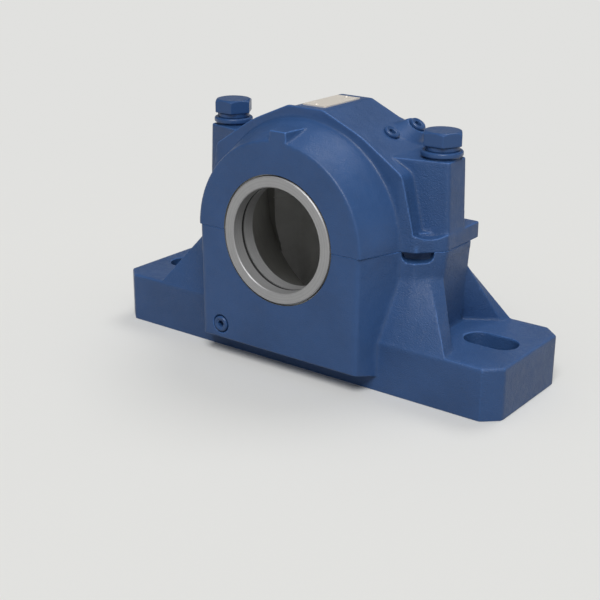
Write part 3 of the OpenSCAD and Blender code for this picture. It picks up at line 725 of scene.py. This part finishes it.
def casting(node, planes):
    """A casting in the shape of its CAD node: cast with soft edges, then milled and bored."""
    settings = bpy.context.scene.plummer_block.casting
    corners, triangles = cad_triangles(node)
    ends, narrow, wide = turned_steps(corners)
    room, outside = ends[0], ends[-1]
    band = int(math.ceil(3 * settings.fillet / settings.voxel)) + 3
    field = Field(corners, settings.voxel, band)
    exact = field.distance_to(corners, triangles)
    for height, way in planes:
        walls = carried_past(corners, triangles, height, reach=10.0 * way)
        exact = np.minimum(exact, field.distance_to(*walls))
    x, y, z = field.axes()
    r = np.sqrt(x ** 2 + (z - SHAFT_Z) ** 2)
    depth = np.abs(y)
    if node == "cap":
        stock = SHAFT_Z - STOCK_PAST_SPLIT - z
    else:
        stock = z - SHAFT_Z - STOCK_PAST_SPLIT
    end_wall = np.maximum(
        np.maximum(r - wide - END_STOCK, depth - outside), np.maximum(room - depth, stock))
    seat = np.maximum(
        np.maximum(np.abs(r - SEAT_R + SEAT_STOCK_INSET) - SEAT_STOCK_HALF, depth - SEAT_HALF),
        stock)
    exact = np.minimum(exact, np.minimum(end_wall, seat)).astype(np.float32)
    soft = np.minimum(
        softened(exact, settings.softness / settings.voxel),
        softened(exact, settings.fillet / settings.voxel))
    mesh = level_mesh(node + "_casting", field, soft)
    milled(mesh, field, soft, planes, settings.edge_break)
    half = [(SEAT_HALF, SEAT_R), (SEAT_HALF, narrow)]
    for k, (low, high) in enumerate(zip(ends, ends[1:])):
        step = wide if k % 2 else narrow
        half += [(low, step), (high, step)]
    half[-1] = (outside - MOUTH_DEPTH, narrow)
    half += [
        (outside - MOUTH_DEPTH, narrow + MOUTH_GAP), (outside + BORE_OVERRUN, narrow + MOUTH_GAP),
        (outside + BORE_OVERRUN, 0.0)]
    profile = [(-y, r) for y, r in reversed(half)] + half
    profile = [p for k, p in enumerate(profile) if k == 0 or p != profile[k - 1]]
    mesh = bored(mesh, lathe("turned_room", profile, (0, SHAFT_Z)))
    inner = inside(np.array([p.center for p in mesh.polygons]), room)
    for polygon, is_inner in zip(mesh.polygons, inner):
        if is_inner and polygon.material_index == 0:
            polygon.material_index = 2
    dress(mesh, field, soft, exact)
    hand_over(placed(node + "_casting", mesh), node)


def inside(points, room):
    """True for points on the cast inner walls, which are primed and not enamelled."""
    x, y, z = points.T
    at_seat = np.abs(y) < SEAT_HALF + PAST_SEAT
    widest = np.where(at_seat, SEAT_R + SEAT_REACH, SEAT_R - ROOM_INSET)
    upper = (z > SHAFT_Z - PAST_SPLIT) & (np.hypot(x, z - SHAFT_Z) < widest)
    lower = (z < SHAFT_Z + PAST_SPLIT) & (z > PRIMED_ABOVE) & (np.abs(x) < widest - LOWER_INSET)
    return (np.abs(y) < room + PAST_ROOM) & (upper | lower)


def hand_over(piece, node):
    """Puts the piece in its CAD node's place and on its body."""
    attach(piece, frame["nodes"][node]["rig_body"])
    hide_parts(node)


class PLUMMER_OT_castings(bpy.types.Operator):
    """Cast the base and the cap, with soft edges and corners and crisp machined faces"""

    bl_idname = "plummer.castings"
    bl_label = "Cast the housing"

    def execute(self, context):
        casting("base", ((0.0, -1), (SHAFT_Z, 1)))
        casting("cap", ((SHAFT_Z, -1),))
        return {"FINISHED"}


# Painted hardware


def hardware(node, shape=None, fineness=1.0):
    """One painted steel piece in the shape of its CAD node."""
    settings = bpy.context.scene.plummer_block.hardware
    corners, triangles = cad_triangles(node)
    voxel, spread = settings.voxel / fineness, settings.softness / fineness
    field = Field(corners, voxel, int(math.ceil(3 * spread / voxel)) + 3)
    exact = field.distance_to(corners, triangles)
    if shape:
        exact = shape(field, exact, node)
    soft = softened(exact, spread / voxel)
    mesh = level_mesh(node + "_painted", field, soft, adaptivity=0.05)
    dress(mesh, field, soft, exact)
    mesh.materials.append(material_of("hardware"))
    hand_over(placed(node + "_painted", mesh), node)


def threaded(field, values, node):
    """Distances with a thread cut into the lower end of a cap bolt's shank."""
    settings = bpy.context.scene.plummer_block.hardware
    low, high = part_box(node)
    centre_x, centre_y = (low.x + high.x) / 2 / MM, (low.y + high.y) / 2 / MM
    x, y, z = field.axes()
    dx, dy = x - centre_x, y - centre_y
    r = np.sqrt(dx ** 2 + dy ** 2)
    turn = np.arctan2(dy, dx) / (2 * math.pi)
    phase = z / settings.thread_pitch - turn
    ridge = np.abs(phase - np.round(phase)) * 2
    depth = THREAD_DEPTH * settings.thread_pitch
    cut = np.clip((1 - ridge) * THREAD_FLANK - THREAD_FLAT, 0, 1) * depth
    thread_top = low.z / MM + settings.thread_length
    run_out = np.clip((thread_top - z) / (2 * settings.thread_pitch), 0, 1)
    wall = (r - (SHANK_R - cut * run_out)) * THREAD_SLOPE
    return np.where(run_out > 0, np.maximum(values, wall), values).astype(np.float32)


class PLUMMER_OT_cap_bolts(bpy.types.Operator):
    """Make the two cap bolts, with chamfered heads and real threads"""

    bl_idname = "plummer.cap_bolts"
    bl_label = "Make the cap bolts"

    def execute(self, context):
        for side in ("left", "right"):
            hardware("cap_bolt_" + side, threaded)
        return {"FINISHED"}


class PLUMMER_OT_washers(bpy.types.Operator):
    """Make the spring lock washers and the flat washers under the bolt heads"""

    bl_idname = "plummer.washers"
    bl_label = "Make the washers"

    def execute(self, context):
        for side in ("left", "right"):
            hardware("lock_washer_" + side)
            hardware("flat_washer_" + side)
        return {"FINISHED"}


class PLUMMER_OT_plugs(bpy.types.Operator):
    """Make the two cap plugs and the drain plug"""

    bl_idname = "plummer.plugs"
    bl_label = "Make the plugs"

    def execute(self, context):
        for node in ("cap_plug_front", "cap_plug_rear", "drain_plug"):
            hardware(node, fineness=1.5)
        return {"FINISHED"}


# Seals, pins and plate


def seam_profile(node):
    """The closed outline of a turned CAD node beside the shaft's axis, as (y, radius) points."""
    corners, triangles = cad_triangles(node)
    on_seam = (np.abs(corners[:, 2] - SHAFT_Z) < ON_PLANE) & (corners[:, 0] > 0)
    links = {}
    for tri in triangles[on_seam[triangles].sum(1) >= 2].tolist():
        ends = [v for v in tri if on_seam[v]]
        for v, w in ((ends[0], ends[1]), (ends[1], ends[0])):
            links.setdefault(v, set()).add(w)
    path = [min(links)]
    while True:
        ahead = [v for v in links[path[-1]] if v not in path]
        if not ahead:
            break
        path.append(min(ahead))
    if len(path) != len(links):
        raise RuntimeError("The outline of " + node + " could not be followed")
    return [(float(corners[v, 1]), float(corners[v, 0])) for v in path]


def eased(outline, radius, steps=3, most=0.3):
    """The closed outline with its corners rounded, over at most this share of a side."""
    points = np.array(outline)
    result = []
    for before, corner, after in zip(np.roll(points, 1, 0), points, np.roll(points, -1, 0)):
        u, v = before - corner, after - corner
        u_len, v_len = np.linalg.norm(u), np.linalg.norm(v)
        reach = min(radius, most * u_len, most * v_len)
        a, b = corner + u / u_len * reach, corner + v / v_len * reach
        for k in range(steps + 1):
            t = k / steps
            result.append(tuple(a * (1 - t) ** 2 + corner * 2 * t * (1 - t) + b * t ** 2))
    return result


def turned_piece(node, kind, easing):
    """A turned piece with many facets and eased corners, in place of its CAD node."""
    outline = eased(seam_profile(node), easing)
    mesh = lathe(node + "_turned", outline, (0, SHAFT_Z), segments=200)
    mesh.polygons.foreach_set("use_smooth", [True] * len(mesh.polygons))
    mesh.materials.append(material_of(kind))
    piece = placed(node + "_turned", mesh)
    shade_flat_faces(piece)
    hand_over(piece, node)


def shade_flat_faces(piece):
    """Keeps broad faces flat, so that only the eased corners bend the light."""
    weighted = piece.modifiers.new("flat_faces", "WEIGHTED_NORMAL")
    weighted.mode = "FACE_AREA"
    weighted.keep_sharp = True


def keep_cad(node, kind, easing=0.12):
    """Gives a CAD node that stays its material, with eased edges."""
    piece = frame["nodes"][node]
    piece.data.materials.clear()
    piece.data.materials.append(material_of(kind))
    bevel = piece.modifiers.new("eased_edges", "BEVEL")
    bevel.width, bevel.segments = easing * MM, 2
    bevel.limit_method, bevel.angle_limit = "ANGLE", math.radians(30)
    shade_flat_faces(piece)


class PLUMMER_OT_seals(bpy.types.Operator):
    """Turn the seal rings and lay in their O-rings"""

    bl_idname = "plummer.seals"
    bl_label = "Turn the seals"

    def execute(self, context):
        for end in ("front", "rear"):
            turned_piece("seal_ring_" + end, "steel", easing=0.08)
            turned_piece("o_ring_" + end, "rubber", easing=0.05)
        return {"FINISHED"}


class PLUMMER_OT_plate_and_pins(bpy.types.Operator):
    """Finish the nameplate, its rivets and the dowel pins"""

    bl_idname = "plummer.plate_and_pins"
    bl_label = "Finish the plate and pins"

    def execute(self, context):
        for node in ("nameplate", "plate_rivet_front", "plate_rivet_rear"):
            keep_cad(node, "plate")
        for node in ("dowel_pin_left", "dowel_pin_right"):
            keep_cad(node, "steel")
        return {"FINISHED"}


# Stage


def soft_lamp(name, place, target, size, power):
    """A square soft lamp that faces a point."""
    lamp = bpy.data.lights.new(name, "AREA")
    lamp.shape = "RECTANGLE"
    lamp.size = lamp.size_y = size
    lamp.energy = power
    holder = bpy.data.objects.new(name, lamp)
    holder.location = place
    holder.rotation_euler = (Vector(target) - Vector(place)).to_track_quat("-Z", "Y").to_euler()
    bpy.context.scene.collection.objects.link(holder)
    return holder


def far_lamp(name, direction, strength, width):
    """A wide soft lamp, so far off that it lights the floor evenly."""
    lamp = bpy.data.lights.new(name, "SUN")
    lamp.energy, lamp.angle = strength, width
    holder = bpy.data.objects.new(name, lamp)
    holder.rotation_euler = (-Vector(direction)).to_track_quat("-Z", "Y").to_euler()
    bpy.context.scene.collection.objects.link(holder)


def place_camera(settings):
    """The camera that the photograph was taken with, as fitted to the housing's corners."""
    turn, rise, roll = settings.azimuth, settings.elevation, settings.roll
    back = Vector((
        math.sin(turn) * math.cos(rise), -math.cos(turn) * math.cos(rise), math.sin(rise)))
    right = Vector((math.cos(turn), math.sin(turn), 0))
    up = right.cross(-back)
    right, up = (
        right * math.cos(roll) + up * math.sin(roll), up * math.cos(roll) - right * math.sin(roll))
    place = Vector(settings.target) + back * settings.distance
    data = bpy.data.cameras.new("camera")
    data.sensor_width = 36
    data.lens = settings.lens
    data.clip_start, data.clip_end = 0.05, 50
    camera = bpy.data.objects.new("camera", data)
    camera.matrix_world = Matrix((
        (right.x, up.x, back.x, place.x), (right.y, up.y, back.y, place.y),
        (right.z, up.z, back.z, place.z), (0, 0, 0, 1)))
    bpy.context.scene.collection.objects.link(camera)
    bpy.context.scene.camera = camera


def seen_directly(tree):
    """1 for the rays that show the background: camera, mirror and glass rays."""
    path = add_node(tree, "ShaderNodeLightPath").outputs
    seen = path["Is Camera Ray"]
    for ray in ("Is Glossy Ray", "Is Transmission Ray"):
        seen = add_node(
            tree, "ShaderNodeMath", {"operation": "MAXIMUM"}, _0=seen, _1=path[ray]).outputs[0]
    return seen


def paint_world(settings):
    """A dim studio overhead, and a pale surround low down that carries the floor's colour on."""
    world = bpy.data.worlds.new("pale_studio")
    world.use_nodes = True
    bpy.context.scene.world = world
    tree = world.node_tree
    direction = add_node(tree, "ShaderNodeTexCoord").outputs["Generated"]
    height = add_node(tree, "ShaderNodeSeparateXYZ", _0=direction).outputs[2]
    band = add_node(
        tree, "ShaderNodeMapRange", Value=height, From_Min=SURROUND_TOP, From_Max=OVERHEAD_FROM,
        To_Min=SURROUND_BRIGHTNESS, To_Max=OVERHEAD_BRIGHTNESS).outputs[0]
    background = tree.nodes["Background"]
    background.inputs["Color"].default_value = list(settings.floor)
    shown = add_node(
        tree, "ShaderNodeMix", _0=seen_directly(tree), _2=WORLD_LIGHT, _3=band).outputs[0]
    tree.links.new(shown, background.inputs["Strength"])


def lay_floor(settings):
    """A pale matt floor, lit near the object and of one plain colour far from it."""
    mesh = bpy.data.meshes.new("floor")
    reach = FLOOR_REACH
    rim = [(-reach, -reach, 0), (reach, -reach, 0), (reach, reach, 0), (-reach, reach, 0)]
    mesh.from_pydata(rim, [], [(0, 1, 2, 3)])
    floor = bpy.data.objects.new("floor", mesh)
    bpy.context.scene.collection.objects.link(floor)
    material, tree, shader = new_material("matt_floor", list(settings.floor))
    place = add_node(tree, "ShaderNodeTexCoord").outputs["Object"]
    away = add_node(tree, "ShaderNodeVectorMath", {"operation": "LENGTH"}, _0=place)
    far = add_node(
        tree, "ShaderNodeMapRange", Value=away.outputs["Value"],
        From_Min=PLAIN_FROM, From_Max=PLAIN_BEYOND, To_Min=0, To_Max=1).outputs[0]
    share = add_node(
        tree, "ShaderNodeMath", {"operation": "MULTIPLY"}, _0=far, _1=seen_directly(tree)).outputs[0]
    pale = toned(tree, settings.floor, grain(tree, 400, 2), 1.05, 1.07)
    # Rays that show the floor see it pale, while light that bounces off it onto the housing takes a
    # darker copy of its colour: this paints shade on the housing's sides.
    tone = add_node(
        tree, "ShaderNodeMix", {"data_type": "RGBA"},
        _0=seen_directly(tree), _6=shaded(settings.floor, 0.42), _7=pale).outputs[2]
    set_inputs(tree, shader, Base_Color=tone, Roughness=0.9, Specular_IOR_Level=0.1)
    plain = add_node(
        tree, "ShaderNodeEmission", Color=list(settings.floor), Strength=SURROUND_BRIGHTNESS)
    blend = add_node(
        tree, "ShaderNodeMixShader", _0=share, _1=shader.outputs[0], _2=plain.outputs[0])
    tree.links.new(blend.outputs[0], tree.nodes["Material Output"].inputs["Surface"])
    mesh.materials.append(material)
    return floor


def keep_off(lamp, thing):
    """Stops a lamp from lighting one thing."""
    unlit = bpy.data.collections.new("not_lit_by_" + lamp.name)
    unlit.objects.link(thing)
    lamp.light_linking.receiver_collection = unlit
    unlit.collection_objects[0].light_linking.link_state = "EXCLUDE"


class PLUMMER_OT_stage(bpy.types.Operator):
    """Set up the camera, the pale floor and the soft studio lamps"""

    bl_idname = "plummer.stage"
    bl_label = "Set the stage"

    def execute(self, context):
        settings = context.scene.plummer_block.stage
        place_camera(settings)
        paint_world(settings)
        floor = lay_floor(settings)
        far_lamp("key_lamp", KEY_DIRECTION, settings.key_strength, settings.key_width)
        far_lamp("back_lamp", BACK_DIRECTION, settings.back_strength, settings.key_width)
        fill = soft_lamp("fill_lamp", FILL_PLACE, FILL_TARGET, FILL_SIZE, settings.fill_power)
        keep_off(fill, floor)
        context.scene.view_settings.view_transform = "Standard"
        return {"FINISHED"}


# Add-on


class PlummerBlockSettings(bpy.types.PropertyGroup):
    """All settings of the housing and its stage."""

    casting: PointerProperty(
        type=CastingSettings, name="Castings", description="The base and the cap")
    hardware: PointerProperty(
        type=HardwareSettings, name="Hardware", description="Bolts, washers and plugs")
    seals: PointerProperty(
        type=SealSettings, name="Seals", description="Rings, pins and nameplate")
    stage: PointerProperty(
        type=StageSettings, name="Stage", description="Camera, floor and lamps")


OPERATORS = (
    PLUMMER_OT_stage, PLUMMER_OT_castings, PLUMMER_OT_cap_bolts, PLUMMER_OT_washers,
    PLUMMER_OT_plugs, PLUMMER_OT_seals, PLUMMER_OT_plate_and_pins)


class PLUMMER_PT_panel(bpy.types.Panel):
    """Steps that build the housing"""

    bl_idname = "PLUMMER_PT_panel"
    bl_label = "Split plummer block"
    bl_space_type = "VIEW_3D"
    bl_region_type = "UI"
    bl_category = "Housing"

    def draw(self, context):
        for operator in OPERATORS:
            self.layout.operator(operator.bl_idname)
        for group in ("casting", "hardware", "seals", "stage"):
            box = self.layout.box()
            settings = getattr(context.scene.plummer_block, group)
            for name in settings.bl_rna.properties.keys():
                if name not in ("rna_type", "name"):
                    box.prop(settings, name)


CLASSES = (
    CastingSettings, HardwareSettings, SealSettings, StageSettings, PlummerBlockSettings,
    *OPERATORS, PLUMMER_PT_panel)


def register():
    for cls in CLASSES:
        bpy.utils.register_class(cls)
    bpy.types.Scene.plummer_block = PointerProperty(type=PlummerBlockSettings)


def unregister():
    del bpy.types.Scene.plummer_block
    for cls in reversed(CLASSES):
        bpy.utils.unregister_class(cls)


def main():
    register()
    for operator in OPERATORS:
        getattr(bpy.ops.plummer, operator.bl_idname.split(".")[1])()


if __name__ == "__main__":
    main()
